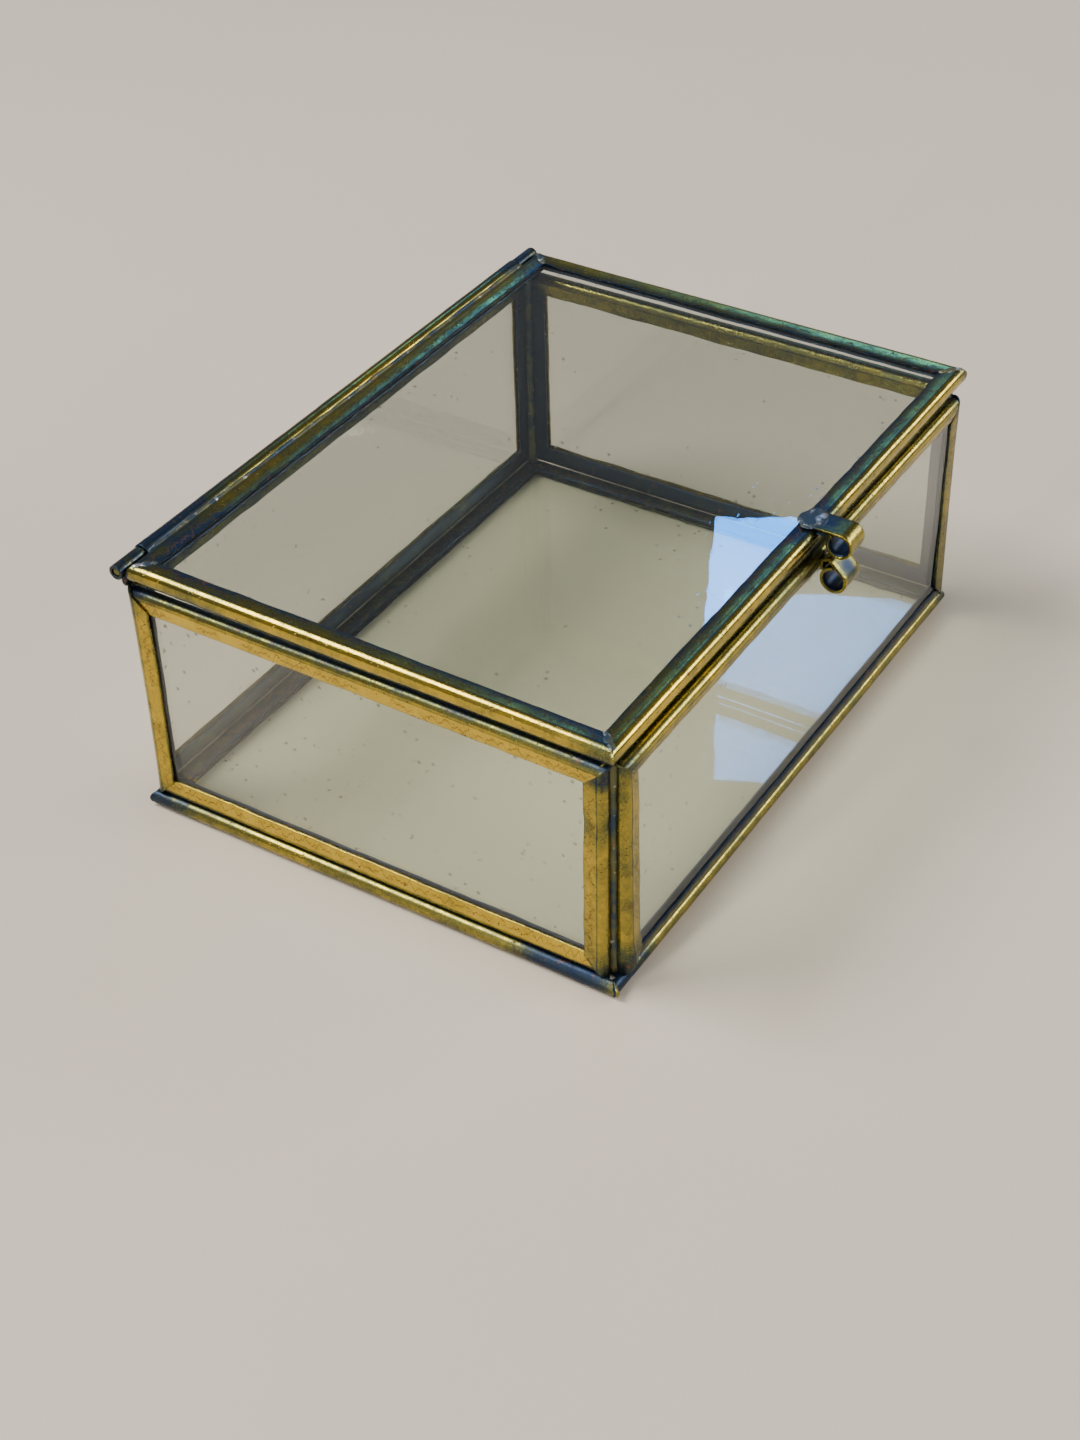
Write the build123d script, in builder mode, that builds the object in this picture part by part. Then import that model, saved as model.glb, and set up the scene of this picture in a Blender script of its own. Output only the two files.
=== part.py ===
"""A small hinged trinket box: glass panes held in folded brass came, soldered at the corners.

Millimetres, +Z up. +X runs along the box, and the clasp is on the -Y side. The lid turns about a
wire along the top of the +Y side. The sizes below are measured from the middle of the walls, and
every piece is moved as it is saved, so that the origin is under the middle of the whole part.
"""
from build123d import *
import os

os.makedirs("parts", exist_ok=True)

# ---------------------------------------------------------------- driving dimensions
# Came: sheet folded into a channel with a round back, the same all round the box
sheet = 0.35
came_thickness = 2.3
came_depth = 3.1
mitre_gap = 0.08
contact_gap = 0.02

glass_thickness = 1.5
glass_inset = 1.0

# Base frame, which rests on the table and sits a little towards the left and front of the walls
base_length = 99.4
base_width = 74.9
base_shift_x = -0.8
base_shift_y = -0.45

# Walls: four framed panes, whose round upright backs meet at each corner with a gap of solder
body_length = 99.6
body_width = 76.0
wall_top = 36.6
corner_setback = 2.1

# Lid, which lies a little lower at the clasp than at the hinge
lid_length = 100.0
lid_front = -37.4
lid_slope = 0.45

# Hinge: a tube soldered behind the lid's rear came turns on a wire held in two end tubes
hinge_y = 36.55
hinge_z = 39.4
pin_radius = 0.6
pin_clearance = 0.05
pin_setback = 0.15
pin_chamfer = 0.12
barrel_radius = 1.25
barrel_length = 90.4
barrel_to_came = 0.05
knuckle_radius = 1.08
knuckle_length = 5.05
knuckle_gap = 0.25
foot_width = 2.6
foot_thickness = 1.3
foot_inset = 1.1

# Clasp: a rolled curl on the lid above a bent loop on the front wall
clasp_sheet = 0.4
clasp_width = 4.0
clasp_x = 2.1
curl_radius = 1.9
curl_y = -40.5
tail_reach = 5.2
loop_radius = 1.95
loop_y = -40.05
loop_z = 33.1
loop_tip_y = -39.6
loop_tip_z = 35.8
stem_bottom = 34.3

# Solder: in the clasp, along the barrel, down the wall corners and in a dot on each lid corner
solder_margin = 0.5
groove_half = 0.95
seam_half = 0.75
dot_radius = 0.75
dot_height = 0.22
dot_taper = 60
dot_from_corner = 1.9

# ---------------------------------------------------------------- derived dimensions
came_radius = came_thickness / 2
wall_bottom = came_thickness
wall_height = wall_top - wall_bottom
wall_middle = (wall_top + wall_bottom) / 2
front_face = -body_width / 2
rear_face = body_width / 2
lid_rear = hinge_y - barrel_radius - barrel_to_came
lid_width = lid_rear - lid_front
footprint_middle = (curl_y - curl_radius + rear_face) / 2


def save(piece, node):
    """Label a finished piece, move it to the shared origin and write it as its own node."""
    piece.part.label = node
    piece.part.move(Pos(0, -footprint_middle, 0))
    export_step(piece.part, f"parts/{node}.step")


# ---------------------------------------------------------------- came and framed panes
def came(plane, length):
    """A mitred channel. Its back lies on the plane's x axis, and its lips point along y."""
    inner = came_radius - sheet
    mitre = length / 2 - mitre_gap
    depth = came_depth
    spare = came_thickness
    across = Plane(plane.origin, x_dir=plane.y_dir, z_dir=plane.x_dir)
    with BuildPart() as bar:
        with BuildSketch(across):
            with BuildLine():
                ThreePointArc((came_radius, came_radius), (0, 0), (came_radius, -came_radius))
                Polyline((came_radius, -came_radius), (depth, -came_radius), (depth, -inner), (came_radius, -inner))
                ThreePointArc((came_radius, -inner), (sheet, 0), (came_radius, inner))
                Polyline((came_radius, inner), (depth, inner), (depth, came_radius), (came_radius, came_radius))
            make_face()
        extrude(amount=length / 2, both=True)
        with BuildSketch(plane):
            with BuildLine():
                Polyline(
                    (-mitre - spare, -spare),
                    (mitre + spare, -spare),
                    (mitre - depth - spare, depth + spare),
                    (-mitre + depth + spare, depth + spare),
                    close=True,
                )
            make_face()
        extrude(amount=came_thickness, both=True, mode=Mode.INTERSECT)
    return bar


def side_of(panel, reach, quarter):
    """The plane of one side's came: the panel turned by quarter turns, moved out to its edge."""
    return Plane(panel.location * Rotation(0, 0, 90 * quarter) * Pos(0, -reach, 0))


def framed_pane(panel, length, height, prefix, sides):
    """A pane of glass in four cames, named from the panel's lower side round to its left."""
    with BuildPart() as pane:
        with BuildSketch(panel.offset(-glass_thickness / 2)):
            Rectangle(length - 2 * glass_inset, height - 2 * glass_inset)
        extrude(amount=glass_thickness)
    save(pane, f"{prefix}_glass")
    for quarter, side in enumerate(sides):
        run, reach = (length, height / 2) if quarter % 2 == 0 else (height, length / 2)
        save(came(side_of(panel, reach, quarter), run), f"{prefix}_came_{side}")


# Base: flat on the table, its round backs outwards
base_panel = Plane((base_shift_x, base_shift_y, came_radius))
framed_pane(base_panel, base_length, base_width, "base", ("front", "right", "rear", "left"))

# Walls: each stands on the base frame, its outer lips on the body's outer faces
long_wall = body_length - 2 * corner_setback
short_wall = body_width - 2 * corner_setback
half_length = body_length / 2 - came_radius
half_width = body_width / 2 - came_radius
front_panel = Plane((0, -half_width, wall_middle), x_dir=(1, 0, 0), z_dir=(0, -1, 0))
right_panel = Plane((half_length, 0, wall_middle), x_dir=(0, 1, 0), z_dir=(1, 0, 0))
rear_panel = Plane((0, half_width, wall_middle), x_dir=(-1, 0, 0), z_dir=(0, 1, 0))
left_panel = Plane((-half_length, 0, wall_middle), x_dir=(0, -1, 0), z_dir=(-1, 0, 0))
walls = (
    (front_panel, long_wall, "wall_front", ("bottom", "right", "top", "left")),
    (right_panel, short_wall, "wall_right", ("bottom", "rear", "top", "front")),
    (rear_panel, long_wall, "wall_rear", ("bottom", "left", "top", "right")),
    (left_panel, short_wall, "wall_left", ("bottom", "front", "top", "rear")),
)
for panel, run, prefix, sides in walls:
    framed_pane(panel, run, wall_height, prefix, sides)

# Lid: a framed pane whose plane passes through the hinge axis
lid_middle = (lid_front + lid_rear) / 2 - hinge_y
lid_tilt = Pos(0, hinge_y, hinge_z) * Rotation(lid_slope, 0, 0)
lid_panel = Plane(lid_tilt * Pos(0, lid_middle, 0))
framed_pane(lid_panel, lid_length, lid_width, "lid", ("front", "right", "rear", "left"))

# ---------------------------------------------------------------- hinge
along_hinge = Plane((0, hinge_y, hinge_z), x_dir=(0, 1, 0), z_dir=(1, 0, 0))
knuckle_start = barrel_length / 2 + knuckle_gap
pin_length = 2 * (knuckle_start + knuckle_length - pin_setback)

with BuildPart() as pin:
    with BuildSketch(along_hinge):
        Circle(pin_radius)
    extrude(amount=pin_length / 2, both=True)
    chamfer(pin.edges().filter_by(GeomType.CIRCLE), pin_chamfer)
save(pin, "hinge_pin")

with BuildPart() as barrel:
    with BuildSketch(along_hinge):
        Circle(barrel_radius)
        Circle(pin_radius + pin_clearance, mode=Mode.SUBTRACT)
    extrude(amount=barrel_length / 2, both=True)
save(barrel, "hinge_barrel")

# Each end tube is a short roll of strip, with a foot standing on the rear wall's top came
foot_height = hinge_z - wall_top
for side, direction in (("left", -1), ("right", 1)):
    tube_start = along_hinge.offset(direction * knuckle_start)
    foot_start = along_hinge.offset(direction * (knuckle_start + foot_inset))
    with BuildPart() as knuckle:
        with BuildSketch(tube_start):
            Circle(knuckle_radius)
        extrude(amount=direction * knuckle_length)
        with BuildSketch(foot_start):
            with Locations((0, -foot_height / 2)):
                Rectangle(foot_thickness, foot_height)
        extrude(amount=direction * foot_width)
        with BuildSketch(tube_start):
            Circle(pin_radius + contact_gap)
        extrude(amount=direction * knuckle_length, mode=Mode.SUBTRACT)
    save(knuckle, f"hinge_knuckle_{side}")

# ---------------------------------------------------------------- clasp
# The curl is rolled from a strip whose flat tail lies on top of the lid's front came
across_clasp = Plane((clasp_x, 0, 0), x_dir=(0, 1, 0), z_dir=(1, 0, 0))
front_back = (lid_tilt * Pos(0, lid_front + came_radius - hinge_y, 0)).position
tail_bottom = front_back.Z + came_radius + contact_gap
curl_z = tail_bottom + clasp_sheet - curl_radius

with BuildPart() as curl:
    with BuildSketch(across_clasp):
        with Locations((curl_y, curl_z)):
            Circle(curl_radius)
            Circle(curl_radius - clasp_sheet, mode=Mode.SUBTRACT)
        with Locations((curl_y + tail_reach / 2, tail_bottom + clasp_sheet / 2)):
            Rectangle(tail_reach, clasp_sheet)
    extrude(amount=clasp_width)
save(curl, "clasp_upper_curl")

# The loop is bent from one strip, whose end comes back down flat against the wall's top came
stem_y = front_face - clasp_sheet / 2 - contact_gap
stem_top = loop_tip_z + clasp_sheet
with BuildPart() as loop:
    with BuildSketch(across_clasp):
        with Locations((loop_y, loop_z)):
            Circle(loop_radius)
        with Locations((loop_tip_y, loop_tip_z)):
            Circle(clasp_sheet)
        make_hull()
        offset(amount=-clasp_sheet, mode=Mode.SUBTRACT)
        with BuildLine():
            Polyline((loop_tip_y, loop_tip_z), (stem_y, stem_top), (stem_y, stem_bottom))
        trace(line_width=clasp_sheet)
    extrude(amount=clasp_width)
save(loop, "clasp_lower_loop")

# ---------------------------------------------------------------- solder
solder_width = clasp_width - 2 * solder_margin
solder_plane = across_clasp.offset(solder_margin)
with BuildPart() as curl_solder:
    with BuildSketch(solder_plane):
        with Locations((curl_y + curl_radius, tail_bottom)):
            Rectangle(front_back.Y - curl_y - curl_radius, came_radius, align=(Align.MIN, Align.MAX))
        with Locations((curl_y, curl_z)):
            Circle(curl_radius, mode=Mode.SUBTRACT)
        with Locations((front_back.Y, front_back.Z)):
            Circle(came_radius, mode=Mode.SUBTRACT)
    extrude(amount=solder_width)
save(curl_solder, "clasp_upper_solder")

wall_back_y = front_face + came_radius
wall_back_z = wall_top - came_radius
with BuildPart() as loop_solder:
    with BuildSketch(solder_plane):
        with Locations((stem_y + clasp_sheet / 2, stem_top)):
            Rectangle(came_radius, stem_top - wall_back_z, align=(Align.MIN, Align.MAX))
        with Locations((wall_back_y, wall_back_z)):
            Circle(came_radius, mode=Mode.SUBTRACT)
    extrude(amount=solder_width)
save(loop_solder, "clasp_lower_solder")

# The barrel is soldered along the back of the lid's rear came, top and bottom
barrel_end = Plane(lid_tilt * Pos(-barrel_length / 2, 0, 0))
barrel_plane = Plane(barrel_end.origin, x_dir=barrel_end.y_dir, z_dir=barrel_end.x_dir)
came_back = lid_rear - came_radius - hinge_y
with BuildPart() as barrel_solder:
    with BuildSketch(barrel_plane):
        with Locations((came_back / 2, 0)):
            Rectangle(-came_back, 2 * groove_half)
        Circle(barrel_radius, mode=Mode.SUBTRACT)
        with Locations((came_back, 0)):
            Circle(came_radius, mode=Mode.SUBTRACT)
    extrude(amount=barrel_length)
save(barrel_solder, "hinge_barrel_solder")

# Corner seams: solder fills the gap between two neighbouring walls' round backs
seam_offset = (corner_setback + came_thickness) / 2
seam_x = body_length / 2 - seam_offset
seam_y = body_width / 2 - seam_offset
back_x = body_length / 2 - corner_setback - came_radius
back_y = body_width / 2 - corner_setback - came_radius
with BuildPart() as seams:
    with BuildSketch(Plane.XY.offset(wall_bottom)):
        for x_sign in (-1, 1):
            for y_sign in (-1, 1):
                with Locations((x_sign * seam_x, y_sign * seam_y)):
                    Rectangle(2 * seam_half, 2 * seam_half)
                with Locations((x_sign * back_x, y_sign * half_width), (x_sign * half_length, y_sign * back_y)):
                    Circle(came_radius, mode=Mode.SUBTRACT)
    extrude(amount=wall_height)
save(seams, "wall_corner_solder")


def solder_dots(places):
    """Low many-sided mounds of solder, one standing on each plane."""
    with BuildPart() as dots:
        for place in places:
            with BuildSketch(place):
                RegularPolygon(dot_radius, 12)
            extrude(amount=dot_height, taper=dot_taper)
    return dots


def corner_planes(panel, half_x, half_y, level, corners):
    """Planes parallel to a panel, one over each named corner."""
    return [Plane(panel.location * Pos(x * half_x, y * half_y, level)) for x, y in corners]


all_corners = ((-1, -1), (1, -1), (1, 1), (-1, 1))
lid_dots = corner_planes(
    lid_panel, lid_length / 2 - dot_from_corner, lid_width / 2 - dot_from_corner, came_radius, all_corners
)
save(solder_dots(lid_dots), "lid_corner_solder")
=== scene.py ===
# %% [markdown]
# # A brass and glass trinket box
# A maker cuts six panes of window glass, folds thin brass sheet into a U-shaped channel called came,
# slips the came round the edge of each pane and solders the corners. Five framed panes make the box
# and the sixth is its lid, which swings on a wire at the back and has a curled clasp at the front.
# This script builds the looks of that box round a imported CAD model, which fixes every size and joint.
# The frame is loaded first, and its outside box is kept, because nothing made here may pass it.

import math

import bmesh
import bpy
from mathutils import Matrix, Vector, noise


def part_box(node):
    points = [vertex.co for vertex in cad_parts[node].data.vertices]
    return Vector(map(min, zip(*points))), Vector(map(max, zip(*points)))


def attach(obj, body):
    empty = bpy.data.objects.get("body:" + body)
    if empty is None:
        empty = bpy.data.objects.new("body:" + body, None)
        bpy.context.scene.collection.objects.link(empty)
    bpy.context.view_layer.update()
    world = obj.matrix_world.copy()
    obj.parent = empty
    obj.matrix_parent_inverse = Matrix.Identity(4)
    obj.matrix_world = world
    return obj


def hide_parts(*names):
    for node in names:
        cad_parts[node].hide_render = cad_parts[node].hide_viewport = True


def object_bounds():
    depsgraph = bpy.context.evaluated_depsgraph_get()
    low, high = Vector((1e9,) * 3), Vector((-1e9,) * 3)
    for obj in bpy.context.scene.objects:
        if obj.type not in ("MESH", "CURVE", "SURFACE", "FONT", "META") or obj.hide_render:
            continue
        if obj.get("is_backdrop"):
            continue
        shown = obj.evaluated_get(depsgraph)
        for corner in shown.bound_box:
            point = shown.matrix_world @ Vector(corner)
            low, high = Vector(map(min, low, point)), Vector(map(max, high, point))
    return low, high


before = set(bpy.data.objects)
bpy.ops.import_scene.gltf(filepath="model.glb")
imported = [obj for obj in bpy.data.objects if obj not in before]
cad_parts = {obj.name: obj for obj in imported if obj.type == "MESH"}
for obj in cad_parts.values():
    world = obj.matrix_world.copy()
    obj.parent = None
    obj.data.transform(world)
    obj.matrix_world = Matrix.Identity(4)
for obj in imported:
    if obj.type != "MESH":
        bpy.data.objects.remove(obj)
cad_low, cad_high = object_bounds()
mm = 0.001

# %% [markdown]
# ## Shader sums
# A finish is a tree of nodes, and most of its nodes only do arithmetic. A small class that wraps a
# socket lets that arithmetic be written as ordinary sums: `1 - wear * 0.5` adds two Math nodes. Every
# other node comes from its one `node` method, which takes the kind, the settings and the sockets.

# %% A socket that can be used in sums
class Signal:
    def __init__(self, tree, socket=None):
        self.tree, self.socket = tree, socket

    def node(self, kind, settings=None, sockets=None, out=0):
        made = self.tree.nodes.new(kind)
        for name, value in (settings or {}).items():
            if name == "stops":
                points = made.color_ramp.elements
                while len(points) < len(value):
                    points.new(1.0)
                for point, (position, colour) in zip(points, value):
                    point.position, point.color = position, (*colour, 1)
            else:
                setattr(made, name, value)
        for name, value in (sockets or {}).items():
            if isinstance(value, Signal):
                self.tree.links.new(value.socket, made.inputs[name])
            else:
                made.inputs[name].default_value = value
        return Signal(self.tree, made.outputs[out])

    def sum(self, operation, first, second):
        return self.node("ShaderNodeMath", {"operation": operation}, {0: first, 1: second})

    def __add__(self, other):
        return self.sum("ADD", self, other)

    def __sub__(self, other):
        return self.sum("SUBTRACT", self, other)

    def __rsub__(self, other):
        return self.sum("SUBTRACT", other, self)

    def __mul__(self, other):
        return self.sum("MULTIPLY", self, other)

    __radd__ = __add__
    __rmul__ = __mul__


# %% [markdown]
# Five things come up in every finish: where a point is, a cloud of noise, a soft threshold that turns
# noise into patches, a mix of two colours, and an amount painted on the mesh. They are short helpers
# round the same `node` method. Places are in metres, so a noise scale of 400 gives marks about 2.5 mm
# across. The Mix node keeps its colour sockets at 6 and 7, after those for numbers and vectors.

# %% Places, noise, thresholds, mixes and painted amounts
def place(start, stretch=(1, 1, 1), shift=(0, 0, 0)):
    here = start.node("ShaderNodeTexCoord", out="Object")
    sockets = {"Vector": here, "Location": shift, "Scale": stretch}
    return start.node("ShaderNodeMapping", {}, sockets)


def cloud(where, scale, detail=3.0, roughness=0.55):
    sockets = {"Vector": where, "Scale": scale, "Detail": detail, "Roughness": roughness}
    return where.node("ShaderNodeTexNoise", {}, sockets)


def between(signal, low, high):
    sockets = {"Value": signal, "From Min": low, "From Max": high}
    return signal.node("ShaderNodeMapRange", {"interpolation_type": "SMOOTHSTEP"}, sockets)


def blended(amount, first, second):
    ends = [value if isinstance(value, Signal) else (*value, 1) for value in (first, second)]
    sockets = {0: amount, 6: ends[0], 7: ends[1]}
    return amount.node("ShaderNodeMix", {"data_type": "RGBA"}, sockets, out=2)


def painted(start, name):
    return start.node("ShaderNodeAttribute", {"attribute_name": name}, out="Fac")


# %% A new material and its shader
def new_finish(name):
    material = bpy.data.materials.new(name)
    material.use_nodes = True
    shader = material.node_tree.nodes["Principled BSDF"]
    return material, shader, Signal(material.node_tree)


def connect(shader, **signals):
    for name, signal in signals.items():
        signal.tree.links.new(signal.socket, shader.inputs[name.replace("_", " ")])


def raised(height, strength, distance):
    sockets = {"Height": height, "Strength": strength, "Distance": distance}
    return height.node("ShaderNodeBump", {}, sockets)


# %% [markdown]
# ## The brass finish
# Old brass came is four metals to the eye. Its outer lips are rubbed bright gold, its round back has
# gone olive and grey-green, the heat of soldering leaves brown and blue-black stains, and the side
# that faces into the box was never polished and is almost navy. One material covers them all: each
# piece carries a painted amount called `patina`, from 0 for bright to 1 for black-blue, and noise
# breaks its edge up. `run` is the distance along a came in centimetres and `across` the part of the
# way round its section, so the drawn streaks, the painted shade in the two creases and the wandering
# brown drip follow the metal. Four separate materials would show hard joins where the metal has none.

# %% The colours of old brass
brass_stops = [
    (0.0, (0.66, 0.475, 0.062)),
    (0.20, (0.50, 0.355, 0.042)),
    (0.40, (0.27, 0.225, 0.045)),
    (0.60, (0.105, 0.112, 0.04)),
    (0.78, (0.024, 0.038, 0.048)),
    (1.0, (0.008, 0.021, 0.052)),
]
heat_brown = (0.20, 0.085, 0.022)
streak_gold = (0.84, 0.70, 0.28)
drip_brown = (0.16, 0.062, 0.012)
pit_brown = (0.09, 0.055, 0.025)
shaded_creases = (0.27, 0.73)
drip_line = 0.13
print("brass goes from gold to navy in", len(brass_stops), "steps")


# %% Brass with patina
def brass_finish(name, shift, gloss=0.17):
    material, shader, start = new_finish(name)
    patina, along, round_section = (painted(start, n) for n in ("patina", "run", "across"))
    here = place(start, shift=shift)
    mottle, fine = cloud(here, 170, 4), cloud(here, 1500, 3)
    stain = cloud(here, 520, 6, 0.75)
    streak_sockets = {"X": along * 45, "Y": round_section * 26, "Z": shift[0]}
    streaks = cloud(start.node("ShaderNodeCombineXYZ", {}, streak_sockets), 1.0, 3)
    dark = patina + (mottle - 0.5) * 0.5 + (stain - 0.5) * 0.7 + (streaks - 0.5) * 0.5
    # Painted shade: a dark line along each crease where a lip meets the round back.
    for crease in shaded_creases:
        from_crease = start.sum("ABSOLUTE", round_section - crease + (streaks - 0.5) * 0.03, 0.0)
        dark = dark + (1 - between(from_crease, 0.0, 0.022)) * 0.3
    colour = start.node("ShaderNodeValToRGB", {"stops": brass_stops}, {"Fac": dark}, out="Color")
    brown = between(stain + fine * 0.25, 0.71, 0.83) * between(patina, 0.02, 0.2)
    colour = blended(brown * 0.75, colour, heat_brown)
    pale = between(streaks, 0.60, 0.74) * (1 - between(patina, 0.2, 0.6))
    colour = blended(pale * 0.35, colour, streak_gold)
    slow_sockets = {"X": along * 9, "Y": shift[1], "Z": shift[0]}
    slow = cloud(start.node("ShaderNodeCombineXYZ", {}, slow_sockets), 1.0, 4)
    from_drip = start.sum("ABSOLUTE", round_section - drip_line + (slow - 0.5) * 0.7, 0.0)
    drip = (1 - between(from_drip, 0.005, 0.018)) * between(mottle, 0.40, 0.50)
    colour = blended(drip * 0.8, colour, drip_brown)
    pits = between(cloud(here, 1700, 2), 0.655, 0.70)
    colour = blended(pits * 0.7, colour, pit_brown)
    rough = gloss + mottle * 0.12 + between(dark, 0.3, 0.9) * 0.16 + pits * 0.3
    height = streaks * 0.55 + fine * 0.3 + stain * 0.35 - pits * 0.8 - drip * 0.7
    connect(shader, Base_Color=colour, Roughness=rough, Metallic=1 - between(dark, 0.45, 1.0) * 0.25)
    connect(shader, Normal=raised(height, 0.32, 0.00009))
    return material


brass_walls = brass_finish("wall brass", (0.0, 0.0, 0.0))
brass_base = brass_finish("base brass", (0.31, 0.12, 0.0), 0.2)
brass_lid = brass_finish("lid brass", (0.07, 0.43, 0.1), 0.14)
brass_clasp = brass_finish("clasp brass", (0.53, 0.21, 0.3), 0.15)
print("brass finishes:", [m.name for m in (brass_walls, brass_base, brass_lid, brass_clasp)])

# %% [markdown]
# ## The solder finish
# Solder is a grey tin alloy that sets with a soft, slightly wrinkled skin. Where a chemical patina was
# brushed over it to match old brass, it turns dark blue-green, and the high spots are rubbed back to
# silver. The same noise that lifts a high spot in the bump also brightens it, so the two agree.
# `bright` says how much was rubbed back: nothing in the seams, a third on the lid's corners.

# %% Solder with a rubbed patina
patina_blue, patina_olive = (0.03, 0.055, 0.085), (0.11, 0.115, 0.055)
tin_silver = (0.66, 0.66, 0.62)
flux_brown = (0.23, 0.12, 0.035)


def solder_finish(name, bright, shift):
    material, shader, start = new_finish(name)
    here = place(start, shift=shift)
    skin, grain, blots = cloud(here, 620, 4), cloud(here, 2600, 3), cloud(here, 260, 3)
    rubbed = between(skin + grain * 0.3, 0.78 - bright * 0.35, 0.95 - bright * 0.25)
    tint = blended(between(blots, 0.42, 0.6), patina_blue, patina_olive)
    colour = blended(rubbed, tint, tin_silver)
    brown = between(cloud(here, 900, 4), 0.62, 0.7)
    colour = blended(brown * 0.6, colour, flux_brown)
    rough = 0.46 - rubbed * 0.22 + grain * 0.12
    connect(shader, Base_Color=colour, Roughness=rough, Metallic=0.7 + rubbed * 0.3)
    connect(shader, Normal=raised(skin + grain * 0.4, 0.6, 0.00012))
    return material


solder_dark = solder_finish("dark solder", 0.2, (0.2, 0.1, 0.0))
solder_mixed = solder_finish("half rubbed solder", 0.34, (0.4, 0.3, 0.1))
solder_seam = solder_finish("seam solder", 0.0, (0.7, 0.2, 0.3))
print("solder finishes:", solder_dark.name, solder_mixed.name, solder_seam.name)

# %% [markdown]
# ## The glass finish
# Window glass has a little green-grey in it, and the clean panes carry a darker tint as painted shade
# on what shows through them. An old pane carries a thin haze, a few dark specks and hair-fine
# scratches, mostly along its edges where a cloth never reaches. The specks are the middles of Voronoi
# cells, kept only where dust gathers: noise alone would make them run together.
# Light from lamps would be blocked by a glass shader, because it can't find its way through a
# refracting surface, so for those rays alone the material swaps to plain transparency. Its tint is
# `lamp_tint`, which sets how light the floor is that shows through the pane.

# %% Glass with dust and scratches
speck_brown = (0.10, 0.085, 0.06)


def glass_finish(name, shift, dust_amount, tint, lamp_tint):
    material, shader, start = new_finish(name)
    here = place(start, shift=shift)
    edge = painted(start, "edge")
    cells = start.node("ShaderNodeTexVoronoi", {}, {"Vector": here, "Scale": 420.0}, out="Distance")
    gathered = between(cloud(here, 130, 3) + edge * 0.3, 0.62 - dust_amount * 0.12, 0.72)
    specks = (1 - between(cells, 0.08, 0.16)) * gathered
    haze = between(cloud(here, 90, 5, 0.7) + edge * 0.35, 0.5, 1.1)
    stretched = place(start, (1.0, 7.0, 1.0), (0.9, 0.1, 0.4))
    hairs = between(cloud(stretched, 240, 2), 0.705, 0.735)
    film = specks + haze * dust_amount * 0.12
    colour = blended(specks * 0.75, tint, speck_brown)
    rough = 0.004 + film * 0.16 + hairs * 0.06
    connect(shader, Base_Color=colour, Roughness=rough)
    connect(shader, Normal=raised(cloud(here, 28, 2) + hairs * 0.01, 0.06, 0.0004))
    shader.inputs["Transmission Weight"].default_value = 1.0
    shader.inputs["IOR"].default_value = 1.5
    clear = start.node("ShaderNodeBsdfTransparent", {}, {"Color": (*lamp_tint, 1)})
    lamp_ray = start.node("ShaderNodeLightPath", out="Is Shadow Ray")
    solid = Signal(material.node_tree, shader.outputs[0])
    both = start.node("ShaderNodeMixShader", {}, {0: lamp_ray, 1: solid, 2: clear})
    output = material.node_tree.nodes["Material Output"]
    material.node_tree.links.new(both.socket, output.inputs["Surface"])
    return material


# The clean panes are tinted darker than the dusty ones: painted shade on what shows through them, most of all
# the floor under the lid.
glass_clean = glass_finish(
    "clean glass", (0.0, 0.0, 0.0), 0.3, tint=(0.74, 0.765, 0.72), lamp_tint=(0.74, 0.76, 0.72))
glass_dusty = glass_finish(
    "dusty glass", (0.6, 0.2, 0.5), 1.0, tint=(0.85, 0.87, 0.82), lamp_tint=(0.79, 0.81, 0.768))
print("glass finishes:", glass_clean.name, glass_dusty.name)

# %% [markdown]
# ## Where each frame lies
# Each framed pane has its own flat frame: x along its lower side, y up the pane, z out of the box.
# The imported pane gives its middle. The lid leans a little forward about the hinge wire, and its lean
# follows from the height of its pane's middle against the height of the wire.

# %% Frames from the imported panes
def middle(node):
    low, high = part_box(node)
    return (low + high) / 2


def panel_frame(glass, x_dir, z_dir):
    x_dir, z_dir = Vector(x_dir), Vector(z_dir)
    turn = Matrix((x_dir, z_dir.cross(x_dir), z_dir)).transposed().to_4x4()
    return Matrix.Translation(middle(glass)) @ turn


wire = middle("hinge_pin")
lean = math.atan2(wire.z - middle("lid_glass").z, wire.y - middle("lid_glass").y)
lid_up = (0, -math.sin(lean), math.cos(lean))
panels = {
    "base": (panel_frame("base_glass", (1, 0, 0), (0, 0, 1)), ("front", "right", "rear", "left"), "box"),
    "wall_front": (
        panel_frame("wall_front_glass", (1, 0, 0), (0, -1, 0)), ("bottom", "right", "top", "left"), "box"),
    "wall_right": (
        panel_frame("wall_right_glass", (0, 1, 0), (1, 0, 0)), ("bottom", "rear", "top", "front"), "box"),
    "wall_rear": (
        panel_frame("wall_rear_glass", (-1, 0, 0), (0, 1, 0)), ("bottom", "left", "top", "right"), "box"),
    "wall_left": (
        panel_frame("wall_left_glass", (0, -1, 0), (-1, 0, 0)), ("bottom", "front", "top", "rear"), "box"),
    "lid": (panel_frame("lid_glass", (1, 0, 0), lid_up), ("front", "right", "rear", "left"), "lid"),
}
print("lid leans by", round(math.degrees(lean), 2), "degrees")


# %% [markdown]
# A came has its own frame too: x along its run, y from its round back towards the pane, z out of the
# panel. It is the panel's frame after so many quarter turns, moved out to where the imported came's back
# is. The four sides of a panel are so alike that one came shape serves them all.

# %% The frame of one side's came
def side_frame(panel, quarter, node):
    turned = panel @ Matrix.Rotation(math.radians(90 * quarter), 4, "Z")
    back = turned.inverted()
    low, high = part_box(node)
    ends = [(low.x, high.x), (low.y, high.y), (low.z, high.z)]
    corners = [back @ Vector((x, y, z)) for x in ends[0] for y in ends[1] for z in ends[2]]
    reach = -min(c.y for c in corners)
    run = max(c.x for c in corners) - min(c.x for c in corners)
    return turned @ Matrix.Translation((0, -reach, 0)), run


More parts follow.
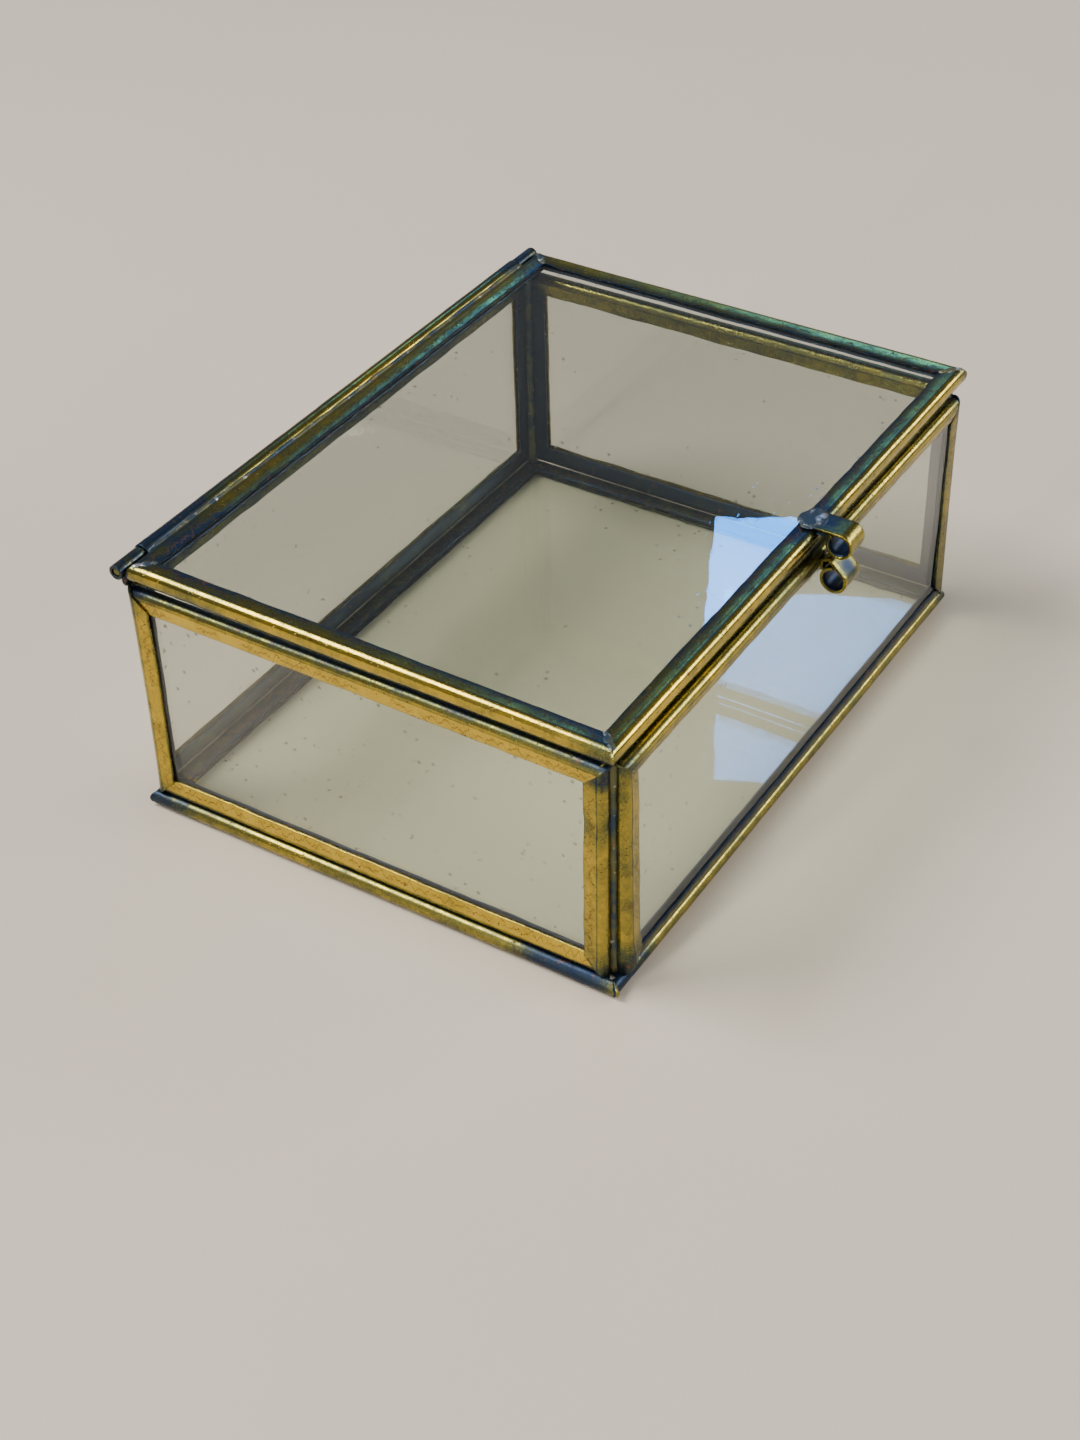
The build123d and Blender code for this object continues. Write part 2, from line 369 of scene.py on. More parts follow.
base_low, base_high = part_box("base_came_front")
came_thickness = base_high.z - base_low.z
came_depth = base_high.y - base_low.y
came_radius = came_thickness / 2
sheet = 0.35 * mm
print("came is", round(came_thickness / mm, 2), "mm thick and", round(came_depth / mm, 2), "mm deep")

# %% [markdown]
# ## Turning a bmesh into a piece
# Every piece is built at its own place in the shared frame, so its object stays at the origin. Shade
# smooth goes on all faces, and thin metal gets its thickness and its slightly softened cut edges from
# two modifiers. Those edges matter: they catch the light along every lip of the came. Handwork pushes
# points about, so every point is held to the CAD box here. The lid was soldered slightly out of true:
# each lid piece is twisted the same small amount, none at the hinge and most at the front corners.

# %% From bmesh to a finished piece
lid_twist = 0.38 * mm
cut_angle = math.radians(50)


def finished(name, bm, body, material, nodes=(), thickness=None, edge=None):
    for v in bm.verts:
        if body == "lid":
            v.co.z += lid_twist * (v.co.x / cad_high.x) * (wire.y - v.co.y) / (wire.y - cad_low.y)
        for axis in range(3):
            v.co[axis] = min(max(v.co[axis], cad_low[axis]), cad_high[axis])
    mesh = bpy.data.meshes.new(name)
    bm.to_mesh(mesh)
    bm.free()
    mesh.shade_smooth()
    piece = bpy.data.objects.new(name, mesh)
    bpy.context.scene.collection.objects.link(piece)
    mesh.materials.append(material)
    if thickness:
        shell = piece.modifiers.new("thickness", "SOLIDIFY")
        shell.thickness, shell.offset, shell.use_even_offset = thickness, -1, True
    if edge:
        soft = piece.modifiers.new("soft edge", "BEVEL")
        soft.width, soft.segments, soft.limit_method = edge, 2, "ANGLE"
        soft.angle_limit = cut_angle
    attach(piece, body)
    if nodes:
        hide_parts(*nodes)
    return piece


# %% [markdown]
# ## Came
# Real came is drawn through rollers, so its section is the same all along: a round back that closes
# in slightly before two flat lips. Here a vertex is spun into the back, its two ends are extruded into
# the lips, and that outline is extruded along the run and divided. Two cuts mitre it. Handwork is
# then added to the surface: it wanders, its lips lift and dip, and heat has dented some ends. A bevelled
# curve would be quicker, but it has no mitred ends and its lips couldn't move apart from its back.
# The lid's came has a fuller lower half than the walls', so less of the gap between them shows.

# %% The outline of a came
closing = math.radians(14)
back_steps, lip_cuts = 14, 5
lip_bow = 0.15


def came_outline(bm, start_x, lower_swell):
    closed_y = came_radius + came_radius * math.sin(closing)
    first = bm.verts.new((start_x, closed_y, came_radius * math.cos(closing)))
    bmesh.ops.spin(
        bm, geom=[first], cent=(0, came_radius, 0), axis=(1, 0, 0), dvec=(0, 0, 0),
        angle=math.pi + 2 * closing, steps=back_steps, use_merge=False)
    ends = [v for v in bm.verts if len(v.link_edges) == 1]
    grown = bmesh.ops.extrude_vert_indiv(bm, verts=ends)
    for v in grown["verts"]:
        v.co.y = came_depth
    bmesh.ops.subdivide_edges(bm, edges=grown["edges"], cuts=lip_cuts)
    for v in bm.verts:
        part = max(0, (v.co.y - closed_y) / (came_depth - closed_y))
        full = lower_swell if v.co.z < 0 else 1.0
        v.co.z *= full * (1 - (1 - (1 - lip_bow) / full) * part**2)


# %% How far round the section a point is, from the outer lip's edge to the inner lip's
lip_width = came_depth - came_radius
back_length = math.pi * came_radius
section_length = 2 * lip_width + back_length


def across(point):
    if point.y > came_radius:
        from_edge = came_depth - point.y
        return (from_edge if point.z > 0 else section_length - from_edge) / section_length
    angle = math.atan2(came_radius - point.y, point.z)
    return (lip_width + angle * came_radius) / section_length


# %% How far the maker's hands moved a point
inner_lift = 0.15
loose_share = 0.12


def wander(point, scale, seed):
    return noise.noise(Vector((point.x, point.y, point.z)) / (scale * mm) + Vector((seed, 3.1 * seed, 7.7)))


def came_move(v, run, facts, seed, round_place):
    part = min(max(v.co.x / run + 0.5, 0), 1)
    first_lap, last_lap = facts["lap"]
    lift = (first_lap * (1 - part) ** 3 + last_lap * part**3) * mm
    move = Vector((0, 0, lift if v.co.z >= 0 else -lift * inner_lift))
    move += v.normal * (wander(v.co, 9, seed) * 0.05 + wander(v.co, 2.2, seed) * 0.018) * mm
    if round_place < loose_share or round_place > 1 - loose_share:
        slow = Vector((v.co.x, 0, math.copysign(5 * mm, v.co.z)))
        move.y += (wander(slow, 5, seed + 4) * 0.16 + wander(slow, 1.6, seed) * 0.07) * mm
    for where, width, depth in facts["dents"]:
        near = math.exp(-(((v.co.x - where * run) / (width * mm)) ** 2))
        move += v.normal * depth * near * (0.6 + wander(v.co, 1.5, seed)) * mm
    if v.co.y > came_radius and v.co.z > 0:
        move.y -= facts["trim"] * mm * (v.co.y - came_radius) / lip_width
    return move


# %% Cut, wave and dent a came
spare = 4 * mm
cut_spacing = 1.4 * mm


def came_mesh(run, facts, seed, lower_swell):
    bm = bmesh.new()
    came_outline(bm, -run / 2 - spare, lower_swell)
    grown = bmesh.ops.extrude_edge_only(bm, edges=bm.edges[:])
    new = [e for e in grown["geom"] if isinstance(e, bmesh.types.BMVert)]
    bmesh.ops.translate(bm, verts=new, vec=(run + 2 * spare, 0, 0))
    long_edges = [e for e in bm.edges if abs(e.verts[0].co.x - e.verts[1].co.x) > run / 2]
    bmesh.ops.subdivide_edges(bm, edges=long_edges, cuts=int(run / cut_spacing), use_grid_fill=True)
    for sign, more in zip((-1, 1), facts["extra"]):
        bmesh.ops.bisect_plane(
            bm, geom=bm.verts[:] + bm.edges[:] + bm.faces[:], clear_outer=True,
            plane_co=(sign * (run / 2 + more * mm), 0, 0), plane_no=(sign, 1, 0))
    run_layer = bm.verts.layers.float.new("run")
    across_layer = bm.verts.layers.float.new("across")
    for v in bm.verts:
        v[run_layer], v[across_layer] = v.co.x / mm / 10, across(v.co)
    bm.normal_update()
    back_face = min(bm.faces, key=lambda f: f.calc_center_median().y)
    if back_face.normal.y > 0:
        bmesh.ops.reverse_faces(bm, faces=bm.faces[:])
    bm.normal_update()
    for v in bm.verts:
        v.co += came_move(v, run, facts, seed, v[across_layer])
    return bm


# %% [markdown]
# ## Patina on a came
# Tarnish isn't the same all over: the outer lip is rubbed bright, the back is olive and the inner lip
# is black-blue. Heat stains spread from each soldered end, and painted shade darkens the rim of each
# lip beside the glass. `levels` are the amounts for the outer lip, the back and the inner lip, and
# `blots` are (place along the run from -0.5 to 0.5, half width in mm, amount) for stains that only
# some cames have; one on the left wall's front came is painted shade instead.
# Painting the amount on the vertices keeps it with the metal, where noise alone would put it anywhere.

# %% Paint the patina
lip_share = lip_width / section_length
heat_stain, heat_reach = 0.28, 2.6 * mm
rim_shade, rim_share = 0.22, 0.035


def paint_patina(bm, run, facts, seed):
    layer = bm.verts.layers.float.new("patina")
    across_layer = bm.verts.layers.float.get("across")
    outer, back, inner = facts["levels"]
    # The outer lip darkens towards its edge beside the glass: painted dark reflection and shade.
    lip_edge_shade = facts.get("lip_edge_shade", outer)
    for v in bm.verts:
        round_place = v[across_layer]
        if round_place < lip_share:
            amount = outer + (lip_edge_shade - outer) * (1 - round_place / lip_share) ** 1.5
        elif round_place > 1 - lip_share:
            amount = inner
        else:
            turn = (round_place - lip_share) / (1 - 2 * lip_share)
            side = outer if turn < 0.5 else inner
            amount = side + (back - side) * math.sin(math.pi * turn) ** 0.6
        from_end = run / 2 - abs(v.co.x)
        amount += heat_stain * math.exp(-((max(from_end, 0) / heat_reach) ** 2))
        for where, width, strength in facts["blots"]:
            near = math.exp(-(((v.co.x - where * run) / (width * mm)) ** 4))
            amount += strength * near * (0.75 + 0.5 * wander(v.co, 4, seed))
        # Painted shade: a darker rim on each lip beside the glass.
        if round_place < rim_share or round_place > 1 - rim_share:
            amount += rim_shade
        v[layer] = min(max(amount, 0), 1)


# %% [markdown]
# Each came differs from its neighbours, so a short table holds what is special, in mm: how far each
# mitred end runs past its corner (`extra`), how far its outer lip laps over the next came (`lap`), how
# much its outer lip was trimmed, and its dents, as (place along the run, half width, depth). The rest
# is patina, where `lip_edge_shade` is the amount at the outer lip's very edge, beside the glass: a
# painted dark reflection on the lid's top lips and painted shade on the front wall's bottom lip. The
# first of two values is for the end where the came's own run starts. Plain cames have no entry.

# %% What is special about some cames
plain = dict(extra=(0.1, 0.1), lap=(0, 0), trim=0.0, dents=(), levels=(0.08, 0.50, 0.95), blots=())
special = {
    "wall_left_came_top": dict(extra=(0.6, 0.1), lap=(0.42, 0.0), levels=(0.10, 0.74, 0.95)),
    # Its blot at 0.44, at the top end, is painted shade under the top came's lapping lip.
    "wall_left_came_front": dict(
        extra=(0.5, 0.6), lap=(0.26, -0.05), levels=(0.29, 0.38, 1.0),
        dents=((-0.42, 1.6, 0.14), (0.22, 1.5, -0.15)), blots=((0.2, 1.4, 0.25), (0.44, 1.1, 0.45))),
    "wall_left_came_rear": dict(extra=(0.5, 0.4), lap=(0.3, 0.34), levels=(0.2, 0.45, 1.0)),
    "wall_left_came_bottom": dict(levels=(0.08, 0.55, 0.95)),
    "wall_front_came_left": dict(
        extra=(0.2, 0.5), lap=(-0.05, 0.34), levels=(0.34, 0.44, 1.0),
        dents=((0.45, 1.9, 0.36), (-0.4, 2.0, -0.14)), blots=((0.4, 1.5, 0.2),)),
    "wall_front_came_top": dict(
        extra=(0.1, 0.7), lap=(0.0, 0.3), levels=(0.34, 0.42, 0.9), trim=0.75, blots=((0.0, 16, 0.2),)),
    "wall_front_came_right": dict(extra=(0.4, 0.3), lap=(0.2, 0.0), levels=(0.47, 0.6, 1.0)),
    # Its darker outer lip edge is painted shade beside the glass.
    "wall_front_came_bottom": dict(
        levels=(0.5, 0.5, 0.98), trim=1.0, lip_edge_shade=1.0, blots=((0.0, 14, 0.12),)),
    "wall_rear_came_top": dict(levels=(0.3, 0.55, 0.68)),
    "wall_rear_came_left": dict(levels=(0.2, 0.6, 0.98)),
    "wall_rear_came_right": dict(levels=(0.2, 0.7, 1.0)),
    "wall_right_came_rear": dict(levels=(0.15, 0.7, 1.0)),
    "wall_rear_came_bottom": dict(levels=(0.15, 0.5, 0.84), blots=((0.42, 9, -0.1),)),
    "wall_right_came_top": dict(levels=(0.15, 0.55, 0.5)),
    "wall_right_came_bottom": dict(levels=(0.15, 0.5, 0.9)),
    "base_came_front": dict(extra=(0.3, 0.2), levels=(0.6, 0.46, 0.5), blots=((-0.46, 5, 0.6),)),
    "base_came_left": dict(
        extra=(0.2, 0.4), levels=(0.62, 0.50, 0.5), dents=((0.45, 3.0, 0.1),),
        blots=((0.40, 6.5, 0.62), (0.5, 1.8, -0.6), (-0.45, 4.5, 0.25), (-0.18, 5, -0.2))),
    "base_came_right": dict(levels=(0.75, 0.4, 0.5)),
    "base_came_rear": dict(levels=(0.75, 0.6, 0.6)),
    # On the lid cames the darker outer lip edge is a painted dark reflection beside the glass.
    "lid_came_left": dict(
        levels=(0.42, 0.26, 0.9), lip_edge_shade=0.85, blots=((-0.36, 5, 0.2), (0.47, 2.4, 0.2))),
    "lid_came_front": dict(
        levels=(0.46, 0.33, 0.85), lip_edge_shade=0.85, blots=((0.04, 5.5, 0.42), (-0.42, 9, -0.14))),
    "lid_came_right": dict(levels=(0.30, 0.30, 0.7), lip_edge_shade=0.7),
    "lid_came_rear": dict(
        levels=(0.36, 0.36, 0.72), lip_edge_shade=0.6, blots=((0.42, 9, 0.42), (-0.46, 4, 0.3))),
}
print("cames with something special:", len(special))

# %% Make every came
families = {"base": brass_base, "lid": brass_lid}
lid_swell = 1.38
came_softening = 0.07 * mm
came_count = 0
for prefix, (panel, sides, body) in panels.items():
    for quarter, side in enumerate(sides):
        node = f"{prefix}_came_{side}"
        own, run = side_frame(panel, quarter, node)
        facts = {**plain, **special.get(node, {})}
        seed = 1.7 * came_count + 0.3
        bm = came_mesh(run, facts, seed, lid_swell if body == "lid" else 1.0)
        paint_patina(bm, run, facts, seed)
        bmesh.ops.transform(bm, matrix=own, verts=bm.verts)
        finished(f"came_{prefix}_{side}", bm, body, families.get(prefix, brass_walls), (node,),
                 sheet, came_softening)
        came_count += 1
print("cames made:", came_count)

# %% [markdown]
# ## Panes
# A pane is cut with a wheel and snapped, then its sharp edges are stoned off, so it gets a small
# chamfer. It stays flat, but a float attribute called `edge` rises towards the came, where the dust
# collects. One big face could hold that attribute only at its corners, so the pane is a fine grid,
# extruded to its thickness, and its faces are shaded flat.

# %% Make every pane
pane_thickness = 1.5 * mm
pane_chamfer = 0.12 * mm
dust_reach = 5 * mm
dusty_panes = ("wall_left", "base")


def pane_mesh(panel, node):
    low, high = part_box(node)
    size = [abs(x) for x in panel.inverted().to_3x3() @ (high - low)]
    bm = bmesh.new()
    bmesh.ops.create_grid(bm, x_segments=24, y_segments=16, size=0.5)
    bmesh.ops.scale(bm, verts=bm.verts, vec=(size[0], size[1], 1))
    bmesh.ops.translate(bm, verts=bm.verts, vec=(0, 0, -pane_thickness / 2))
    grown = bmesh.ops.extrude_face_region(bm, geom=bm.faces[:], use_keep_orig=True)
    upper = [v for v in grown["geom"] if isinstance(v, bmesh.types.BMVert)]
    bmesh.ops.translate(bm, verts=upper, vec=(0, 0, pane_thickness))
    bmesh.ops.recalc_face_normals(bm, faces=bm.faces[:])
    layer = bm.verts.layers.float.new("edge")
    for v in bm.verts:
        from_edge = min(size[0] / 2 - abs(v.co.x), size[1] / 2 - abs(v.co.y))
        v[layer] = math.exp(-from_edge / dust_reach)
    return bm


for prefix, (panel, _, body) in panels.items():
    bm = pane_mesh(panel, f"{prefix}_glass")
    bmesh.ops.transform(bm, matrix=panel, verts=bm.verts)
    glass = glass_dusty if prefix in dusty_panes else glass_clean
    pane = finished(f"pane_{prefix}", bm, body, glass, (f"{prefix}_glass",), edge=pane_chamfer)
    for face in pane.data.polygons:
        face.use_smooth = False
print("panes made:", len(panels))

# %% [markdown]
# ## Solder blobs
# Molten solder pulls itself into a low dome and freezes with a wrinkled skin. A blob starts as a
# many-sided ball, is flattened to its three half sizes, and noise pushes its surface in and out. It
# sits a little into the metal, as solder wets it. Metaballs would flow together more softly, but a
# ball that noise pushes about keeps its place and size exactly. The four lid corners, the base
# corners and the clasp each have one or more.

# %% A solder blob
def blob(name, centre, halves, body, nodes=(), seed=0.0):
    bm = bmesh.new()
    bmesh.ops.create_icosphere(bm, subdivisions=4, radius=1.0)
    for v in bm.verts:
        coarse = noise.noise(v.co * 1.7 + Vector((seed, 0, 0)))
        v.co *= 1 + 0.22 * (coarse + 0.4 * noise.noise(v.co * 4.5 + Vector((0, seed, 0))))
    bmesh.ops.scale(bm, verts=bm.verts, vec=[h * mm for h in halves])
    bmesh.ops.translate(bm, verts=bm.verts, vec=centre)
    return finished(name, bm, body, solder_dark, nodes)


# %% Many blobs joined into one piece
def joined_blobs(name, spots, body, material, nodes=()):
    bm = bmesh.new()
    for number, (centre, halves, turn) in enumerate(spots):
        made = bmesh.ops.create_icosphere(bm, subdivisions=4, radius=1.0)["verts"]
        for v in made:
            shifted = v.co * 1.8 + Vector((number * 5.1, 0, 2.0))
            v.co *= 1 + 0.24 * noise.noise(shifted) + 0.07 * noise.noise(shifted * 3)
        bmesh.ops.scale(bm, verts=made, vec=[h * mm for h in halves])
        bmesh.ops.transform(bm, matrix=Matrix.Translation(centre) @ turn, verts=made)
    return finished(name, bm, body, material, nodes)


# %% [markdown]
# Each mitre on the lid was closed with three small touches of the iron, in a row down the diagonal. They
# lie just under the top of the came, and wipe flat as they cool.

# %% Solder on the lid's corners
lid_panel = panels["lid"][0]
lid_low, lid_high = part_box("lid_came_front")
lid_half = (lid_high.x - lid_low.x) / 2
lid_reach = (lid_panel.inverted() @ Vector((0, lid_low.y, middle("lid_came_front").z))).y
touches = ((1.1, 0.62), (1.9, 0.85), (2.6, 0.5))
touch_height = 0.98 * mm
lid_spots = []
for x_sign in (-1, 1):
    for y_sign in (-1, 1):
        diagonal = Matrix.Rotation(math.radians(45 * x_sign * y_sign), 4, "Z")
        turn = lid_panel.to_3x3().to_4x4() @ diagonal
        for step, size in touches:
            inwards = step * mm
            local = Vector((x_sign * (lid_half - inwards), -y_sign * (lid_reach + inwards), touch_height))
            lid_spots.append((lid_panel @ local, (size * 1.25, size * 0.8, 0.26), turn))
joined_blobs("solder_lid_corners", lid_spots, "lid", solder_mixed, ("lid_corner_solder",))
print("solder spots on the lid:", len(lid_spots))

# %% [markdown]
# ## Corner seams
# Two walls meet with their round backs side by side, and a bead of solder runs down the groove. It
# is a lumpy rod: a circle extruded upwards in one step, divided into rings, and pushed in and out by
# noise, thicker at its top and bottom where the solder pooled. All four seams are one piece.

# %% A rod of rings, and a way to gather meshes into one
def rod_mesh(segments, radius, length, rings):
    bm = bmesh.new()
    bmesh.ops.create_circle(bm, cap_ends=True, segments=segments, radius=radius)
    grown = bmesh.ops.extrude_face_region(bm, geom=bm.faces[:], use_keep_orig=True)
    top = [v for v in grown["geom"] if isinstance(v, bmesh.types.BMVert)]
    bmesh.ops.translate(bm, verts=top, vec=(0, 0, length))
    rising = [e for e in bm.edges if abs(e.verts[0].co.z - e.verts[1].co.z) > length / 2]
    bmesh.ops.subdivide_edges(bm, edges=rising, cuts=rings)
    bmesh.ops.recalc_face_normals(bm, faces=bm.faces[:])
    return bm


def gather(target, bm):
    passing = bpy.data.meshes.new("passing")
    bm.to_mesh(passing)
    bm.free()
    target.from_mesh(passing)
    bpy.data.meshes.remove(passing)


# %% The four seams
seam_low, seam_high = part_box("wall_corner_solder")
seam_height = seam_high.z - seam_low.z
seam_radius, seam_inset = 0.78 * mm, 0.85 * mm
seams = bmesh.new()
for x_side in (-1, 1):
    for y_side in (-1, 1):
        x = (seam_high.x if x_side > 0 else seam_low.x) - x_side * seam_inset
        y = (seam_high.y if y_side > 0 else seam_low.y) - y_side * seam_inset
        rod = rod_mesh(14, seam_radius, seam_height, 44)
        for v in rod.verts:
            height = v.co.z / seam_height
            pool = 0.28 * (math.exp(-((height / 0.09) ** 2)) + math.exp(-(((1 - height) / 0.07) ** 2)))
            swell = pool - 0.12 + 0.22 * wander(v.co, 1.6, x_side + 2 * y_side)
            v.co += Vector((v.co.x, v.co.y, 0)) * swell
        bmesh.ops.translate(rod, verts=rod.verts, vec=(x, y, seam_low.z))
        gather(seams, rod)
finished("solder_wall_corners", seams, "box", solder_seam, ("wall_corner_solder",))
print("seams made: 4")

# %% [markdown]
# The base frame is soldered under the walls at its corners. Those joints are the darkest on the box,
# with silver specks, and the one at the near corner spread the furthest. Each is one blob at the corner
# with one more along each side.

# %% Blobs at the base corners
base_x = (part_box("base_came_left")[0].x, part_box("base_came_right")[1].x)
base_y = (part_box("base_came_front")[0].y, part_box("base_came_rear")[1].y)
corner_inset = 1.5 * mm
upright = Matrix.Identity(4)
base_spots = []
for x, x_in in zip(base_x, (1, -1)):
    for y, y_in in zip(base_y, (1, -1)):
        size = 0.8 if x_in > 0 and y_in > 0 else 0.72
        corner = Vector((x + x_in * corner_inset, y + y_in * corner_inset, corner_inset))
        for offset, halves in (
            ((0, 0, 0), (size, size * 0.95, 0.92)),
            ((x_in * 1.6, y_in * 0.2, 0.25), (1.2 * size, 0.7, 0.6)),
            ((x_in * 0.2, y_in * 1.7, 0.2), (0.7, 1.3 * size, 0.6)),
        ):
            base_spots.append((corner + Vector(offset) * mm, halves, upright))
joined_blobs("solder_base_corners", base_spots, "box", solder_dark)
print("solder spots on the base:", len(base_spots))

# %% [markdown]
# ## Strips bent to a path
# The clasp is two short strips of brass. The helper walks a vertex along a path, by spinning it round
# a centre or extruding it to a point, then extrudes the whole path sideways to the strip's width.
# Sideways rows let noise bend the strip a little, and the modifiers give it thickness and soft edges.
# A curve with a flat profile twists where it turns tightly, which a spun strip never does.

# %% Walk a path and widen it
def loose_end(bm, point):
    return min((v for v in bm.verts if len(v.link_edges) < 2), key=lambda v: (v.co - point).length)


def arc_on(bm, vert, centre, degrees, steps):
    turn = Matrix.Rotation(math.radians(degrees), 3, "X")
    target = centre + turn @ (vert.co - centre)
    bmesh.ops.spin(
        bm, geom=[vert], cent=centre, axis=(1, 0, 0), dvec=(0, 0, 0),
        angle=math.radians(degrees), steps=steps, use_merge=False)
    return loose_end(bm, target)


def line_on(bm, vert, point, cuts):
    grown = bmesh.ops.extrude_vert_indiv(bm, verts=[vert])
    grown["verts"][0].co = point
    bmesh.ops.subdivide_edges(bm, edges=grown["edges"], cuts=cuts)
    return loose_end(bm, point)


def widened(bm, width, rows, outside, seed):
    grown = bmesh.ops.extrude_edge_only(bm, edges=bm.edges[:])
    new = [e for e in grown["geom"] if isinstance(e, bmesh.types.BMVert)]
    bmesh.ops.translate(bm, verts=new, vec=(width, 0, 0))
    side = [e for e in bm.edges if abs(e.verts[0].co.x - e.verts[1].co.x) > width / 2]
    bmesh.ops.subdivide_edges(bm, edges=side, cuts=rows, use_grid_fill=True)
    bm.normal_update()
    for v in bm.verts:
        v.co += v.normal * wander(v.co, 2.4, seed) * 0.03 * mm
    probe = min(bm.faces, key=lambda f: (f.calc_center_median() - outside).length)
    bm.normal_update()
    if probe.normal.dot(outside - probe.calc_center_median()) < 0:
        bmesh.ops.reverse_faces(bm, faces=bm.faces[:])
    return bm


# %% Paint a strip: bright outside, dark solder where it is joined
def paint_strip(bm, centre, dark_spots, base_level):
    layers = {n: bm.verts.layers.float.new(n) for n in ("patina", "run", "across")}
    for v in bm.verts:
        amount = base_level
        for spot, reach, strength in dark_spots:
            amount += strength * math.exp(-(((v.co - spot).length / (reach * mm)) ** 2))
        v[layers["patina"]] = min(max(amount, 0), 1)
        v[layers["run"]] = math.atan2(v.co.z - centre.z, v.co.y - centre.y)
        v[layers["across"]] = v.co.x / (4 * mm)


# %% [markdown]
# ## The curl and the loop
# The upper strip lies flat on the lid's front came and rolls forward and under itself, nearly a full
# turn, so it ends just behind where it began. The lower strip stands up from the wall's top came,
# folds over at its tip and comes down round a wide loop, like a drop hanging from a thread. Both are
# dark where the solder ran.

# %% The upper curl
strip_sheet = 0.4 * mm
strip_softening = 0.08 * mm
strip_rows, strip_patina = 6, 0.42
towards_front = Vector((2, -6, 0)) * mm
curl_low, curl_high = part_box("clasp_upper_curl")
curl_radius = (curl_high.z - curl_low.z) / 2
curl_centre = Vector((curl_low.x, curl_low.y + curl_radius, curl_low.z + curl_radius))
clasp_width = curl_high.x - curl_low.x
curl = bmesh.new()
tail = curl.verts.new((curl_low.x, curl_high.y, curl_high.z))
top = line_on(curl, tail, Vector((curl_low.x, curl_centre.y, curl_high.z)), 6)
arc_on(curl, top, curl_centre, 318, 40)
widened(curl, clasp_width, strip_rows, curl_centre + towards_front, 3.0)
joint = Vector((curl_centre.x + clasp_width / 2, curl_high.y - 1 * mm, curl_high.z))
paint_strip(curl, curl_centre, ((joint, 3.2, 0.55),), strip_patina)
finished("clasp_curl", curl, "lid", brass_clasp, ("clasp_upper_curl",), strip_sheet, strip_softening)
print("curl is", round(2 * curl_radius / mm, 2), "mm across")

# %% [markdown]
# The inside of a rolled strip lies in shade, and painted shade darkens it almost black. Paint on the
# strip itself goes through to its outer side too, because the thickness is only a modifier. So the
# painted shade inside is a skin of its own, a little narrower than the strip and just inside it.

# %% The skin of painted shade inside a rolled strip
skin_thickness = 0.03 * mm
skin_margin = 0.12 * mm
skin_inset = strip_sheet + 0.05 * mm


# A dark skin just inside a rolled strip: painted shade in the hollow of the roll.
def shaded_lining(name, start_point, centre, degrees, width, body):
    lining = bmesh.new()
    first = lining.verts.new(start_point)
    arc_on(lining, first, centre, degrees, 36)
    widened(lining, width - 2 * skin_margin, 4, centre, 3.0)
    paint_strip(lining, centre, (), 1.0)
    finished(name, lining, body, brass_clasp, (), skin_thickness)


curl_inside = Vector((curl_low.x + skin_margin, curl_centre.y, curl_high.z - skin_inset))
shaded_lining("clasp_curl_lining", curl_inside, curl_centre, 316, clasp_width, "lid")
print("curl lined")

# %% The lower loop
loop_low, loop_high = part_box("clasp_lower_loop")
loop_radius = 1.95 * mm
loop_centre = Vector((loop_low.x, loop_low.y + loop_radius, loop_low.z + loop_radius))
loop_width = loop_high.x - loop_low.x
foot_height = 34.3 * mm
bend = Vector((0, -1.72, 0.92)) * mm
loop = bmesh.new()
foot = loop.verts.new((loop_low.x, loop_high.y - 0.04 * mm, foot_height))
knee = line_on(loop, foot, Vector((loop_low.x, loop_high.y - 0.06 * mm, loop_high.z - 0.6 * mm)), 5)
tip = line_on(loop, knee, Vector((loop_low.x, loop_centre.y + 0.75 * mm, loop_high.z - 0.1 * mm)), 3)
shoulder = line_on(loop, tip, loop_centre + bend, 4)
arc_on(loop, shoulder, loop_centre, 292, 36)
widened(loop, loop_width, strip_rows, loop_centre + towards_front, 5.0)
blue_spot = loop_centre + Vector((clasp_width / 2, -1.2 * mm, 1.7 * mm))
paint_strip(loop, loop_centre, ((blue_spot, 1.4, 0.6),), strip_patina)
finished("clasp_loop", loop, "box", brass_clasp, ("clasp_lower_loop",), strip_sheet, strip_softening)
loop_inside = loop_centre + bend * (1 - skin_inset / bend.length) + Vector((skin_margin, 0, 0))
shaded_lining("clasp_loop_lining", loop_inside, loop_centre, 290, loop_width, "box")
print("clasp strips made: 2, each with its lining")

# %% [markdown]
# A blob behind each strip holds it to its came. Under the curl's tail the solder also ran out into a
# thin flat patch, which shows from above as a dark skin with silver specks.

# %% Solder that holds the clasp
for part, body, spread, seed in (("upper", "lid", 1.15, 2.0), ("lower", "box", 1.1, 6.0)):
    node = f"clasp_{part}_solder"
    low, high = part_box(node)
    half = (high - low) / 2 / mm
    halves = (half.x * spread, half.y * 0.95, half.z * 0.95)
    blob(f"solder_clasp_{part}", (low + high) / 2, halves, body, (node,), seed)
patch = Vector((curl_centre.x + clasp_width / 2, curl_high.y - 0.6 * mm, curl_high.z - 0.06 * mm))
blob("solder_clasp_patch", patch, (2.5, 1.9, 0.3), "lid", seed=9.0)
print("solder blobs at the clasp: 3")

# %% [markdown]
# ## The hinge
# The lid turns on a steel wire held in two short brass tubes on the back corners. A long tube, the
# barrel, is soldered along the lid's rear came and turns on the same wire. The section of a tube's
# wall is a small rectangle, and spinning it round the wire closes the tube with its bore in one step,
# where a cylinder would need a second one cut out of it. The two end tubes stand on small feet.

# %% A tube with wall thickness along X
tube_segments = 36


